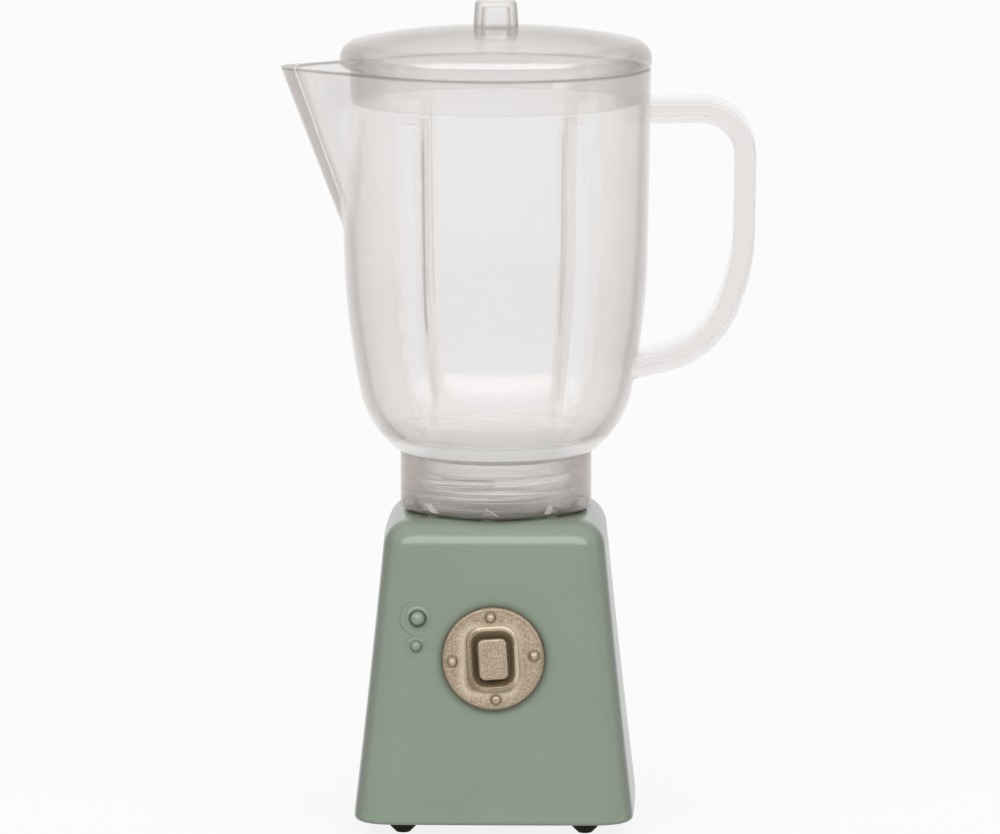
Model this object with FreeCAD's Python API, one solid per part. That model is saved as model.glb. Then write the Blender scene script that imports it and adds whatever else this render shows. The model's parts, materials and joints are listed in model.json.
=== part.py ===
import FreeCAD, Part
import math
import os

# Toy blender: a sage green metal base with a bronze switch plate, and a clear jug that
# screws on to it, with a clear lid. Millimetres. Z is up and the origin is on the
# blender's own axis, at the surface that its feet stand on. The front, with the switch,
# faces -Y, the spout points to -X and the handle to +X.

V = FreeCAD.Vector

# Base shell: a tapered square with slightly bowed sides, cast with one wall thickness
base_bottom_z = 2.0
base_height = 40.3
base_bottom_half = 18.95
base_waist_half = 16.45
base_top_half = 14.65
base_corner_r = 4.8
base_bow = 0.4
base_wall = 1.4
base_shoulder_r = 4.0
base_foot_edge_r = 0.7

# Bottom plate, its screws and the feet
plate_recess = 0.5
plate_thick = 1.2
plate_gap = 0.15
screw_shank_r = 0.8
screw_head_r = 1.6
screw_head_h = 0.9
screw_length = 6.0
screw_slot_length = 2.2
screw_slot_width = 0.5
screw_slot_depth = 0.45
screw_fit = 0.05
screw_inset = 2.4
screw_post_r = 2.3
screw_post_h = 6.5
foot_spacing = 24.4
foot_r = 2.1
foot_flat_r = 0.9
foot_waist_z = 1.2
foot_waist_arc_r = 1.0
foot_small_edge_r = 0.2
foot_neck_r = 1.1
foot_head_r = 1.7
foot_head_h = 1.4
foot_fit = 0.05

# Switch plate on the front
switch_rise = 22.3
switch_r = 6.9
switch_thick = 1.22
switch_seat = 0.12
switch_fit = 0.05
switch_turn = 4.0
switch_edge_r = 0.5
frame_width = 6.9
frame_height = 8.8
frame_rise = 0.6
frame_corner_r = 2.4
frame_edge_r = 0.3
frame_crest = 0.6
frame_crest_r = 0.25
frame_dish_depth = 0.75
rivet_circle_r = 5.45
rivet_dome_r = 0.7
rivet_shank_r = 0.45
rivet_fit = 0.03
rivet_ring_r = 0.88
rivet_ring_depth = 0.15
rivet_tail_r = 0.75
rivet_tail_h = 0.4

# Button, its guide and its spring, stacked behind the switch plate
button_width = 3.85
button_height = 5.4
button_corner_r = 0.8
button_edge_r = 0.3
button_proud = 1.0
button_gap = 0.3
button_travel = 0.8
button_flange_rim = 0.8
button_flange_thick = 0.8
button_stem_r = 0.9
guide_flange_r = 6.6
guide_flange_thick = 0.8
guide_gap = 0.1
guide_stop_gap = 0.1
guide_wall = 0.8
guide_depth = 5.0
spring_room = 0.3
stem_fit = 0.08
stem_past_guide = 0.9
spring_r = 1.6
spring_wire_r = 0.2
spring_turns = 4

# Two domes moulded in the front, beside the switch plate
upper_dome = {"x": -10.1, "y": 5.3, "ball_r": 1.08, "skirt_r": 2.3}
lower_dome = {"x": -10.3, "y": 1.6, "ball_r": 0.78, "skirt_r": 1.4}
dome_sink = 0.6
dome_skirt_rise = 0.1
dome_skirt_edge = 0.02
dome_ball_rise = 0.1

# Thread boss on the base and threaded collar under the jug
collar_r = 12.86
collar_gap = 0.2
collar_height = 7.8
collar_edge_r = 0.3
thread_pitch = 2.1
thread_turns = 1.75
collar_thread_turns = 1.25
thread_bite = 0.1
thread_rise = 0.8
thread_core_r = 10.3
thread_depth = 0.75
thread_root_width = 1.05
thread_crest_width = 0.45
thread_fit = 0.15
boss_wall = 1.6
boss_nose_r = 9.9
boss_floor = 1.4
boss_spigot_r = 4.0
boss_spigot_fit = 0.05
boss_pilot_r = 1.2
collar_neck_bore_r = 10.5
notch_count = 8
notch_turn = -2.6
notch_width = 2.4
notch_height = 1.25
notch_steep_share = 0.25
notch_depth = 1.0
seal_thick = 1.0
seal_width = 2.4
seal_fit = 0.1

# Screw and washer that hold the boss from inside the base
boss_screw_r = 1.15
boss_screw_length = 3.4
boss_screw_head_r = 2.4
boss_screw_head_h = 1.5
boss_screw_slot = 0.6
boss_screw_slot_depth = 0.8
boss_screw_edge_r = 0.4
washer_r = 6.0
washer_thick = 0.8

# Jug: outer side as three straight runs joined by a tight and a long arc
bowl_lip = 0.3
bowl_height = 3.0
bowl_step = 2.93
waist_height = 15.7
break_r = 20.27
side_height = 32.8
rim_flare = 0.53
corner_arc_r = 13.0
break_arc_r = 100.0
rim_wall = 1.15
side_wall = 1.55
bowl_wall = 1.7
floor_wall = 1.5
floor_arc_r = 3.0
rim_edge_r = 0.4

# Spout: a rounded V, extruded down a slope until it dies into the wall
spout_length = 8.05
spout_drop = 22.2
spout_toe_proud = 0.03
spout_nose_r = 4.2
spout_side_inset = 0.15
spout_wall = 1.2
spout_tip_wall = 2.05
spout_core_nose_r = 4.6
spout_core_drop = 21.2
spout_core_inset = 1.0
spout_run_on = 1.15

# Flutes: V grooves outside with matching ribs inside, flat at the top, dying into the bowl
flute_angles = (33.5, -33.5, 146.5, -146.5)
flute_below_rim = 6.0
flute_half_width = 2.5
flute_depth = 1.25
flute_wall = 1.35
flute_top_wall = 0.8
flute_apex_r = 0.4
flute_clear = 1.5
rib_cut_slack = 0.01

# Handle: a flat strap that follows one centre line
handle_width = 10.6
handle_thick = 2.9
handle_edge_r = 0.5
handle_below_rim = 5.9
handle_top_rise = 0.4
handle_reach = 12.7
handle_lean_in = 0.3
handle_heel_in = 4.4
handle_heel_drop = 31.7
handle_heel_run = 11.8
handle_root_fall = 6.6
handle_corner_r = 6.0
handle_side_arc_r = 26.0
handle_heel_arc_r = 12.0
bond_gap = 0.03

# Lid: a domed cap with a hollow knob and a plug that drops into the rim
lid_overhang = 0.1
lid_edge_h = 3.2
lid_bend_r = 12.0
lid_bend_rise = 1.6
lid_top_rise = 0.5
lid_edge_top_r = 2.4
lid_edge_low_r = 0.6
lid_bend_arc_r = 60.0
lid_inner_arc_r = 1.0
lid_wall = 1.3
plug_length = 4.8
plug_wall = 1.2
plug_fit = 0.06
plug_edge_r = 0.5
knob_height = 3.7
knob_top_r = 2.8
knob_base_r = 3.1
knob_wall = 0.9
knob_edge_r = 0.7
knob_inner_edge_r = 0.3

# Heights and radii that follow, from the table up
plate_low_z = base_bottom_z + plate_recess
plate_top_z = plate_low_z + plate_thick
switch_z = base_bottom_z + switch_rise
base_top_z = base_bottom_z + base_height
roof_z = base_top_z - base_wall
collar_bottom_z = base_top_z + collar_gap
collar_top_z = collar_bottom_z + collar_height
thread_start_z = collar_bottom_z + thread_rise
boss_thread_top_z = thread_start_z + thread_pitch * thread_turns + thread_root_width / 2
corner_z = collar_top_z + bowl_height
break_z = corner_z + waist_height
rim_z = break_z + side_height
bowl_start_r = collar_r + bowl_lip
corner_r = break_r - bowl_step
rim_r = break_r + rim_flare
spout_reach = rim_r + spout_length
spout_core_reach = spout_reach - spout_tip_wall
handle_out_top_r = rim_r + handle_reach
handle_top_z = rim_z - handle_below_rim
handle_side_drop = handle_heel_drop - handle_heel_run
handle_root_drop = handle_heel_drop + handle_root_fall
lid_r = rim_r + lid_overhang
lid_edge_z = rim_z + lid_edge_h
lid_bend_z = lid_edge_z + lid_bend_rise
lid_top_z = lid_bend_z + lid_top_rise
plug_bottom_z = rim_z - plug_length
knob_top_z = lid_top_z + knob_height
flange_width = button_width + 2 * button_flange_rim
flange_height = button_height + 2 * button_flange_rim
slot_width = flange_width + 2 * button_gap
slot_height = flange_height + 2 * button_gap

Z_AXIS = V(0, 0, 1)
ORIGIN = V(0, 0, 0)


def rounded_outline(corners):
    """Closed wire in the XZ plane through (x, z, radius) corners, rounded by tangent arcs."""
    joints = []
    count = len(corners)
    for i in range(count):
        x, z, radius = corners[i]
        here = V(x, 0, z)
        before = V(corners[i - 1][0], 0, corners[i - 1][1]) - here
        after = V(corners[(i + 1) % count][0], 0, corners[(i + 1) % count][1]) - here
        if radius == 0:
            joints.append((here, here, here))
            continue
        half = before.getAngle(after) / 2
        before.normalize()
        after.normalize()
        reach = radius / math.tan(half)
        middle = (before + after).normalize() * (radius / math.sin(half) - radius)
        joints.append((here + before * reach, here + middle, here + after * reach))
    edges = []
    for i in range(count):
        start, middle, end = joints[i]
        if (end - start).Length > 1e-6:
            edges.append(Part.Arc(start, middle, end).toShape())
        following = joints[(i + 1) % count][0]
        if (following - end).Length > 1e-6:
            edges.append(Part.makeLine(end, following))
    return Part.Wire(edges)


def open_path(corners):
    """Open wire in the XZ plane through (x, z, radius) corners, rounded by tangent arcs."""
    closed = rounded_outline(corners)
    first = V(corners[0][0], 0, corners[0][1])
    last = V(corners[-1][0], 0, corners[-1][1])
    kept = [e for e in closed.Edges if not joins(e, first, last)]
    return Part.Wire(kept)


def joins(edge, first, last):
    ends = [v.Point for v in edge.Vertexes]
    near_first = min((p - first).Length for p in ends) < 1e-6
    near_last = min((p - last).Length for p in ends) < 1e-6
    return near_first and near_last


def turned(corners):
    """Solid turned about the Z axis from (r, z, radius) corners."""
    return Part.Face(rounded_outline(corners)).revolve(ORIGIN, Z_AXIS, 360)


def ring(outer_r, inner_r, low_z, high_z):
    outer = Part.makeCylinder(outer_r, high_z - low_z, V(0, 0, low_z))
    return outer.cut(Part.makeCylinder(inner_r, high_z - low_z, V(0, 0, low_z)))


def inset_corner(a, b, c, first_wall, second_wall):
    """Where runs a-b and b-c meet once each has moved to its left by its wall."""
    a, b, c = V(a[0], 0, a[1]), V(b[0], 0, b[1]), V(c[0], 0, c[1])
    along_first = (b - a).normalize()
    along_second = (c - b).normalize()
    left_first = V(-along_first.z, 0, along_first.x)
    left_second = V(-along_second.z, 0, along_second.x)
    p = a + left_first * first_wall
    q = b + left_second * second_wall
    cross = along_first.x * along_second.z - along_first.z * along_second.x
    gap = q - p
    reach = (gap.x * along_second.z - gap.z * along_second.x) / cross
    meet = p + along_first * reach
    return meet.x, meet.z


def on_run(a, b, z):
    """Point at height z on the straight run through (r, z) points a and b."""
    return a[0] + (b[0] - a[0]) * (z - a[1]) / (b[1] - a[1]), 0, z


def rounded_rectangle(width, height, corner_r, z):
    """Wire on local XY with rounded corners, at local height z."""
    x, y = width / 2, height / 2
    wire = rounded_outline([(-x, -y, corner_r), (x, -y, corner_r), (x, y, corner_r),
                            (-x, y, corner_r)])
    wire.rotate(ORIGIN, V(1, 0, 0), -90)
    wire.translate(V(0, 0, z))
    return wire


def rounded_block(width, height, corner_r, low, high):
    """Upright block on local XY with rounded corners, from local z low to high."""
    return Part.Face(rounded_rectangle(width, height, corner_r, low)).extrude(V(0, 0, high - low))


def round_edges(shape, radius, chosen):
    edges = [e for e in shape.Edges if chosen(e)]
    return shape.makeFillet(radius, edges)


def at_height(z):
    """Picks the edges that lie flat at one height."""
    return lambda edge: abs(edge.BoundBox.ZMin - z) < 1e-4 and abs(edge.BoundBox.ZMax - z) < 1e-4


# ---- base ----

def bowed_square(half, corner_r, z):
    """Square wire with its sides as long arcs, tangent to its corner arcs."""
    side_r = (half ** 2 + base_bow ** 2) / (2 * base_bow)
    centre = side_r - half
    k = (-centre + math.sqrt(2 * (side_r - corner_r) ** 2 - centre ** 2)) / 2
    edges = []
    for turn in range(4):
        corner = V(k, -k, z)
        away = (corner - V(0, centre, z)).normalize()
        end = V(0, centre, z) + away * side_r
        start = V(-end.x, end.y, z)
        diagonal = corner + V(1, -1, 0).normalize() * corner_r
        following = V(-start.y, start.x, z)
        side = Part.Arc(start, V(0, -half, z), end).toShape()
        bend = Part.Arc(end, diagonal, following).toShape()
        for edge in (side, bend):
            edge.rotate(ORIGIN, Z_AXIS, 90 * turn)
            edges.append(edge)
    return Part.Wire(edges)


def base_form(inset, low_z, high_z, shoulder_r):
    """Tapered square from low_z to high_z, moved inwards by inset, with round shoulders."""
    levels = (base_bottom_z, switch_z, base_top_z)
    halves = (base_bottom_half, base_waist_half, base_top_half)
    wires = [bowed_square(h - inset, base_corner_r - inset, z) for h, z in zip(halves, levels)]
    body = Part.makeLoft(wires, True, False)
    span = 2 * base_bottom_half
    slab = Part.makeBox(2 * span, 2 * span, high_z - low_z, V(-span, -span, low_z))
    body = body.common(slab)
    return round_edges(body, shoulder_r, at_height(high_z))


def front_lean():
    return math.degrees(math.atan((base_bottom_half - base_top_half) / (base_top_z - base_bottom_z)))


def on_front(shape, turn=0.0):
    """Moves a shape from its local frame (z out of the face, y up) to the switch's seat."""
    moved = shape.copy()
    moved.rotate(ORIGIN, Z_AXIS, turn)
    moved.rotate(ORIGIN, V(1, 0, 0), 90 - front_lean())
    moved.translate(V(0, switch_seat - base_waist_half, switch_z))
    return moved


def around_switch(shape):
    """The same shape at each of the four rivets of the switch plate."""
    copies = []
    for i in range(4):
        one = shape.copy()
        one.translate(V(0, rivet_circle_r, 0))
        one.rotate(ORIGIN, Z_AXIS, 90 * i)
        copies.append(one)
    return copies


def screw_places():
    reach = base_bottom_half - base_wall - screw_inset
    return [V(reach, 0, 0), V(0, reach, 0), V(-reach, 0, 0), V(0, -reach, 0)]


def moulded_dome(x, y, ball_r, skirt_r):
    """Half ball on a flared skirt, standing on the bowed front beside the switch."""
    flare_z = ball_r / 2
    flare_r = (skirt_r - ball_r) / 2
    skirt = turned([(0, -dome_sink, 0), (skirt_r, -dome_sink, 0), (skirt_r, dome_skirt_edge, 0),
                    (ball_r, dome_skirt_rise, flare_r), (ball_r, flare_z, 0), (0, flare_z, 0)])
    dome = skirt.fuse(Part.makeSphere(ball_r, V(0, 0, dome_ball_rise)))
    bow_drop = base_bow * (x / base_waist_half) ** 2
    dome.translate(V(x, y, switch_seat - bow_drop))
    return on_front(dome)


def make_base_shell():
    outside = base_form(0, base_bottom_z, base_top_z, base_shoulder_r)
    outside = round_edges(outside, base_foot_edge_r, at_height(base_bottom_z))
    inside = base_form(base_wall, base_bottom_z, roof_z, base_shoulder_r - base_wall)
    posts = []
    for place in screw_places():
        post = Part.makeCylinder(screw_post_r, screw_post_h, place + V(0, 0, plate_top_z))
        hole_r = screw_shank_r + screw_fit
        post = post.cut(Part.makeCylinder(hole_r, screw_length, place + V(0, 0, plate_top_z)))
        posts.append(post)
    inside = inside.cut(Part.makeCompound(posts))
    shell = outside.cut(inside)
    spigot_hole_r = boss_spigot_r + boss_spigot_fit
    shell = shell.cut(Part.makeCylinder(spigot_hole_r, 2 * base_wall, V(0, 0, roof_z - base_wall / 2)))
    corner_r = button_corner_r + button_gap
    window = rounded_block(slot_width, slot_height, corner_r, -2 * base_wall, base_wall)
    shell = shell.cut(on_front(window, switch_turn))
    hole = Part.makeCylinder(rivet_shank_r + rivet_fit, 3 * base_wall, V(0, 0, -2 * base_wall))
    for one in around_switch(hole):
        shell = shell.cut(on_front(one, switch_turn))
    seat = Part.makeCylinder(switch_r + switch_fit, base_wall)
    shell = shell.cut(on_front(seat))
    for dome in (upper_dome, lower_dome):
        shell = shell.fuse(moulded_dome(**dome))
    return shell.removeSplitter()


def make_bottom_plate():
    low_half = base_bottom_half - base_wall - plate_gap
    wall_lean = math.tan(math.radians(front_lean()))
    rise = plate_top_z - base_bottom_z
    corner_r = base_corner_r - base_wall
    wires = [bowed_square(low_half - wall_lean * (rise - plate_thick), corner_r, plate_low_z),
             bowed_square(low_half - wall_lean * rise, corner_r, plate_top_z)]
    plate = Part.makeLoft(wires, True, True)
    for place in screw_places():
        plate = plate.cut(screw_form(place, screw_fit))
    for x, y in foot_places().values():
        plate = plate.cut(Part.makeCylinder(foot_neck_r + foot_fit, plate_thick, V(x, y, plate_low_z)))
    return plate


def screw_form(place, extra):
    """Countersunk screw standing head down in the bottom plate."""
    head = Part.makeCone(screw_head_r + extra, screw_shank_r + extra, screw_head_h, V(0, 0, plate_low_z))
    shank = Part.makeCylinder(screw_shank_r + extra, screw_length, V(0, 0, plate_low_z))
    screw = head.fuse(shank)
    screw.translate(place)
    return screw


def make_bottom_screws():
    solids = []
    for place in screw_places():
        screw = screw_form(place, 0)
        for turn in (0, 90):
            corner = V(-screw_slot_length / 2, -screw_slot_width / 2, plate_low_z)
            slot = Part.makeBox(screw_slot_length, screw_slot_width, screw_slot_depth, corner)
            slot.rotate(ORIGIN, Z_AXIS, turn)
            slot.translate(place)
            screw = screw.cut(slot)
        solids.append(screw)
    return Part.makeCompound(solids)


def foot_places():
    half = foot_spacing / 2
    return {"foot_front_left": (-half, -half), "foot_front_right": (half, -half),
            "foot_back_left": (-half, half), "foot_back_right": (half, half)}


def make_foot(x, y):
    """Rubber foot: a dome under the plate, a neck through it and a barbed head inside."""
    head_z = plate_top_z + foot_head_h
    foot = turned([(0, 0, 0), (foot_flat_r, 0, foot_small_edge_r),
                   (foot_r, foot_waist_z, foot_waist_arc_r), (foot_r, plate_low_z, 0),
                   (foot_neck_r, plate_low_z, 0), (foot_neck_r, plate_top_z, 0),
                   (foot_head_r, plate_top_z, 0), (foot_neck_r, head_z, foot_small_edge_r),
                   (0, head_z, 0)])
    foot.translate(V(x, y, 0))
    return foot


# ---- switch ----

def on_crest(z, width, height):
    """Picks the edges at height z inside a rectangle of this size."""
    def chosen(edge):
        box = edge.BoundBox
        in_width = max(abs(box.XMin), abs(box.XMax)) < width / 2 + 1e-3
        in_height = max(abs(box.YMin), abs(box.YMax)) < height / 2 + 1e-3
        return in_width and in_height and at_height(z)(edge)
    return chosen


def make_switch_plate():
    plate = turned([(0, 0, 0), (switch_r, 0, 0), (switch_r, switch_thick, switch_edge_r),
                    (0, switch_thick, 0)])
    top = switch_thick + frame_rise
    frame = rounded_block(frame_width, frame_height, frame_corner_r, 0, top)
    frame = round_edges(frame, frame_edge_r, at_height(top))
    plate = plate.fuse(frame)
    window_width = button_width + 2 * button_gap
    window_height = button_height + 2 * button_gap
    window_corner_r = button_corner_r + button_gap
    window = rounded_block(window_width, window_height, window_corner_r, -1, 2 * top)
    crest_width = frame_width - 2 * frame_crest
    crest_height = frame_height - 2 * frame_crest
    crest_corner_r = frame_corner_r - frame_crest
    dish_low_z = top - frame_dish_depth
    low_wire = rounded_rectangle(window_width, window_height, window_corner_r, dish_low_z)
    crest_wire = rounded_rectangle(crest_width, crest_height, crest_corner_r, top)
    plate = plate.cut(window).cut(Part.makeLoft([low_wire, crest_wire], True, True))
    plate = round_edges(plate, frame_crest_r, on_crest(top, crest_width, crest_height))
    ring_low = V(0, 0, switch_thick - rivet_ring_depth)
    ring_cut = Part.makeCylinder(rivet_ring_r, rivet_ring_depth, ring_low)
    shank_cut = Part.makeCylinder(rivet_shank_r + rivet_fit, switch_thick)
    for one in around_switch(ring_cut.fuse(shank_cut)):
        plate = plate.cut(one)
    return on_front(plate.removeSplitter(), switch_turn)


def guide_front():
    return -(base_wall - switch_seat + guide_gap)


def make_plate_rivets():
    seat = switch_thick - rivet_ring_depth
    tail = guide_front() - guide_flange_thick
    dome = Part.makeSphere(rivet_dome_r, V(0, 0, seat)).common(
        Part.makeCylinder(rivet_dome_r, rivet_dome_r, V(0, 0, seat)))
    shank = Part.makeCylinder(rivet_shank_r, seat - tail, V(0, 0, tail))
    foot = Part.makeCone(rivet_shank_r, rivet_tail_r, rivet_tail_h, V(0, 0, tail - rivet_tail_h))
    rivet = dome.fuse(shank).fuse(foot)
    return Part.makeCompound([on_front(one, switch_turn) for one in around_switch(rivet)])


def make_button_guide():
    """Disc behind the wall, with a shallow stop recess and a tube for the spring."""
    front = guide_front()
    back = front - guide_depth
    pocket_r = spring_r + spring_wire_r + spring_room
    stop_z = -(button_flange_thick + button_travel + guide_stop_gap)
    flange_low = V(0, 0, front - guide_flange_thick)
    flange = Part.makeCylinder(guide_flange_r, guide_flange_thick, flange_low)
    tube = Part.makeCylinder(pocket_r + guide_wall, guide_depth, V(0, 0, back))
    recess = rounded_block(slot_width, slot_height, button_corner_r + button_gap, stop_z, 0)
    pocket = Part.makeCylinder(pocket_r, guide_depth, V(0, 0, back + guide_wall))
    bore = Part.makeCylinder(button_stem_r + stem_fit, guide_depth, V(0, 0, back))
    hole = Part.makeCylinder(rivet_shank_r + rivet_fit, guide_flange_thick, flange_low)
    guide = flange.fuse(tube).cut(recess).cut(pocket).cut(bore)
    for one in around_switch(hole):
        guide = guide.cut(one)
    return on_front(guide, switch_turn)


def make_button():
    """Block in the window, a flange that stops it behind the plate and a guide stem."""
    face = switch_thick + frame_rise + button_proud
    block = rounded_block(button_width, button_height, button_corner_r, -button_flange_thick, face)
    block = round_edges(block, button_edge_r, at_height(face))
    flange = rounded_block(flange_width, flange_height, button_corner_r, -button_flange_thick, 0)
    stem_end = guide_front() - guide_depth - stem_past_guide
    stem = Part.makeCylinder(button_stem_r, -stem_end, V(0, 0, stem_end))
    return on_front(block.fuse(flange).fuse(stem).removeSplitter(), switch_turn)


def make_button_spring():
    """Coil spring round the stem, from the guide's back to the button's flange."""
    low = guide_front() - guide_depth + guide_wall + spring_wire_r
    high = -button_flange_thick - spring_wire_r
    rise = high - low
    helix = Part.makeHelix(rise / spring_turns, rise, spring_r)
    wire = Part.Wire(helix.Edges)
    section = Part.Wire(Part.makeCircle(spring_wire_r, V(spring_r, 0, 0), V(0, 1, 0)))
    spring = wire.makePipeShell([section], True, True)
    spring.translate(V(0, 0, low))
    return on_front(spring, switch_turn)


# ---- neck ----

def thread_ridge(base_r, tip_r, start_z, turns):
    """Right-hand helical ridge with a trapezoid section, from base_r to tip_r."""
    helix = Part.Wire(Part.makeHelix(thread_pitch, thread_pitch * turns, base_r).Edges)
    wide, narrow = thread_root_width / 2, thread_crest_width / 2
    section = Part.makePolygon([V(base_r, 0, -wide), V(tip_r, 0, -narrow), V(tip_r, 0, narrow),
                                V(base_r, 0, wide), V(base_r, 0, -wide)])
    ridge = helix.makePipeShell([section], True, True)
    ridge.translate(V(0, 0, start_z))
    return ridge


def make_thread_boss():
    nose_top = collar_top_z - seal_thick
    inner_r = boss_nose_r - boss_wall
    floor_z = base_top_z + boss_floor
    core = turned([(0, base_top_z, 0), (thread_core_r, base_top_z, 0),
                   (thread_core_r, boss_thread_top_z, 0), (boss_nose_r, boss_thread_top_z, 0),
                   (boss_nose_r, nose_top, 0), (inner_r, nose_top, 0), (inner_r, floor_z, 0),
                   (0, floor_z, 0)])
    root_r = thread_core_r - thread_bite
    ridge = thread_ridge(root_r, thread_core_r + thread_depth, thread_start_z, thread_turns)
    spigot = Part.makeCylinder(boss_spigot_r, base_wall + boss_floor, V(0, 0, roof_z))
    pilot = Part.makeCylinder(boss_pilot_r, base_wall + boss_floor, V(0, 0, roof_z))
    return core.fuse(spigot).fuse(ridge).cut(pilot)


def make_neck_collar():
    bore_r = thread_core_r + thread_depth + thread_fit
    tip_r = thread_core_r + thread_fit
    step_z = boss_thread_top_z + thread_fit
    body = turned([(bore_r, collar_bottom_z, 0), (collar_r, collar_bottom_z, collar_edge_r),
                   (collar_r, collar_top_z, 0), (collar_neck_bore_r, collar_top_z, 0),
                   (collar_neck_bore_r, step_z, 0), (bore_r, step_z, 0)])
    ridge_start = thread_start_z + thread_pitch / 2
    ridge = thread_ridge(bore_r + thread_bite, tip_r, ridge_start, collar_thread_turns)
    body = body.fuse(ridge)
    left = -notch_width / 2
    peak = left + notch_width * notch_steep_share
    tooth = Part.makePolygon([V(left, 0, 0), V(peak, 0, notch_height), V(-left, 0, 0), V(left, 0, 0)])
    notch = Part.Face(tooth).extrude(V(0, notch_depth + thread_depth, 0))
    notch.translate(V(0, -(bore_r + notch_depth), collar_bottom_z))
    for i in range(notch_count):
        one = notch.copy()
        one.rotate(ORIGIN, Z_AXIS, notch_turn + 360 * i / notch_count)
        body = body.cut(one)
    return body


def make_neck_seal():
    outer_r = collar_neck_bore_r - seal_fit
    return ring(outer_r, outer_r - seal_width, collar_top_z - seal_thick, collar_top_z)


def make_boss_screw():
    head_top = roof_z - washer_thick
    head_low = head_top - boss_screw_head_h
    head = Part.makeCylinder(boss_screw_head_r, boss_screw_head_h, V(0, 0, head_low))
    head = round_edges(head, boss_screw_edge_r, at_height(head_low))
    slot = Part.makeBox(2 * boss_screw_head_r, boss_screw_slot, boss_screw_slot_depth,
                        V(-boss_screw_head_r, -boss_screw_slot / 2, head_low))
    shank = Part.makeCylinder(boss_screw_r, boss_screw_length, V(0, 0, head_top))
    return head.cut(slot).fuse(shank)


def make_boss_washer():
    return ring(washer_r, boss_pilot_r, roof_z - washer_thick, roof_z)


# ---- jug ----

BOWL_START = (bowl_start_r, collar_top_z)
BOWL_CORNER = (corner_r, corner_z)
SIDE_BREAK = (break_r, break_z)
RIM = (rim_r, rim_z)


def jug_outside(grow=0.0):
    """Turned outer form of the jug, grown outwards by a bond gap where asked."""
    return turned([(0, collar_top_z, 0), (bowl_start_r + grow, collar_top_z, 0),
                   (corner_r + grow, corner_z, corner_arc_r), (break_r + grow, break_z, break_arc_r),
                   (rim_r + grow, rim_z, rim_edge_r), (0, rim_z, 0)])


def jug_inside():
    floor_z = collar_top_z + floor_wall
    low = inset_corner(BOWL_START, BOWL_CORNER, SIDE_BREAK, bowl_wall, side_wall)
    start = inset_corner((0, collar_top_z), BOWL_START, BOWL_CORNER, floor_wall, bowl_wall)
    above = rim_z + 1
    return turned([(0, floor_z, 0), (start[0], floor_z, floor_arc_r),
                   (low[0], low[1], corner_arc_r - bowl_wall), (break_r - side_wall, break_z, break_arc_r),
                   (rim_r - rim_wall, rim_z, 0), (rim_r - rim_wall, above, 0), (0, above, 0)])


def spout_form(reach, nose_r, side_distance, toe_r, drop, above):
    """Rounded V in plan, extruded obliquely so that its nose runs from reach to toe_r."""
    sine = (side_distance - nose_r) / (reach - nose_r)
    cosine = math.sqrt(1 - sine ** 2)
    touch = V(nose_r - reach - nose_r * sine, nose_r * cosine, rim_z)
    foot = V(-side_distance * sine, side_distance * cosine, rim_z)
    touch_mirror = V(touch.x, -touch.y, rim_z)
    foot_mirror = V(foot.x, -foot.y, rim_z)
    plan = Part.Wire([Part.makeLine(foot_mirror, touch_mirror),
                      Part.Arc(touch_mirror, V(-reach, 0, rim_z), touch).toShape(),
                      Part.makeLine(touch, foot), Part.makeLine(foot, foot_mirror)])
    form = Part.Face(plan).extrude(V(reach - toe_r, 0, -drop) * spout_run_on)
    if above:
        form = form.fuse(Part.Face(plan).extrude(V(0, 0, above)))
    return form


def flute_tool(wall, top_wall):
    """Bar with a V section that follows the jug's side, its point a flute depth and a wall deep."""
    side = inset_corner(BOWL_CORNER, SIDE_BREAK, RIM, 0, 0)
    above = on_run(SIDE_BREAK, RIM, rim_z - flute_below_rim + top_wall)
    below = on_run(BOWL_CORNER, SIDE_BREAK, collar_top_z)
    path = open_path([(above[0], above[2], 0), (side[0], side[1], break_arc_r),
                      (below[0], below[2], 0)])
    spread = math.atan(flute_half_width / flute_depth)
    point = -flute_depth - wall / math.sin(spread)
    half = (flute_clear - point) * math.tan(spread)
    section = rounded_outline([(point, 0, flute_apex_r + wall), (flute_clear, -half, 0),
                               (flute_clear, half, 0)])
    section.rotate(ORIGIN, V(1, 0, 0), -90)
    section.translate(V(*above))
    bar = path.makePipeShell([section], True, False)
    return bar.Solids[0].toNurbs()


def at_flutes(tool):
    copies = []
    for angle in flute_angles:
        one = tool.copy()
        one.rotate(ORIGIN, Z_AXIS, angle - 90)
        copies.append(one)
    return Part.makeCompound(copies)


def make_jug():
    outside = jug_outside()
    side = rim_r - spout_side_inset
    toe_r = break_r + spout_toe_proud
    spout = spout_form(spout_reach, spout_nose_r, side, toe_r, spout_drop, 0)
    core = spout_form(spout_core_reach, spout_core_nose_r, side - spout_wall, toe_r - spout_core_inset,
                      spout_core_drop, 1)
    outside = outside.fuse(spout).cut(at_flutes(flute_tool(0, 0)))
    ribs = at_flutes(flute_tool(flute_wall, flute_top_wall))
    inside = jug_inside().fuse(core).cut([ribs], rib_cut_slack)
    return outside.cut(inside).removeSplitter()


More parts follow.
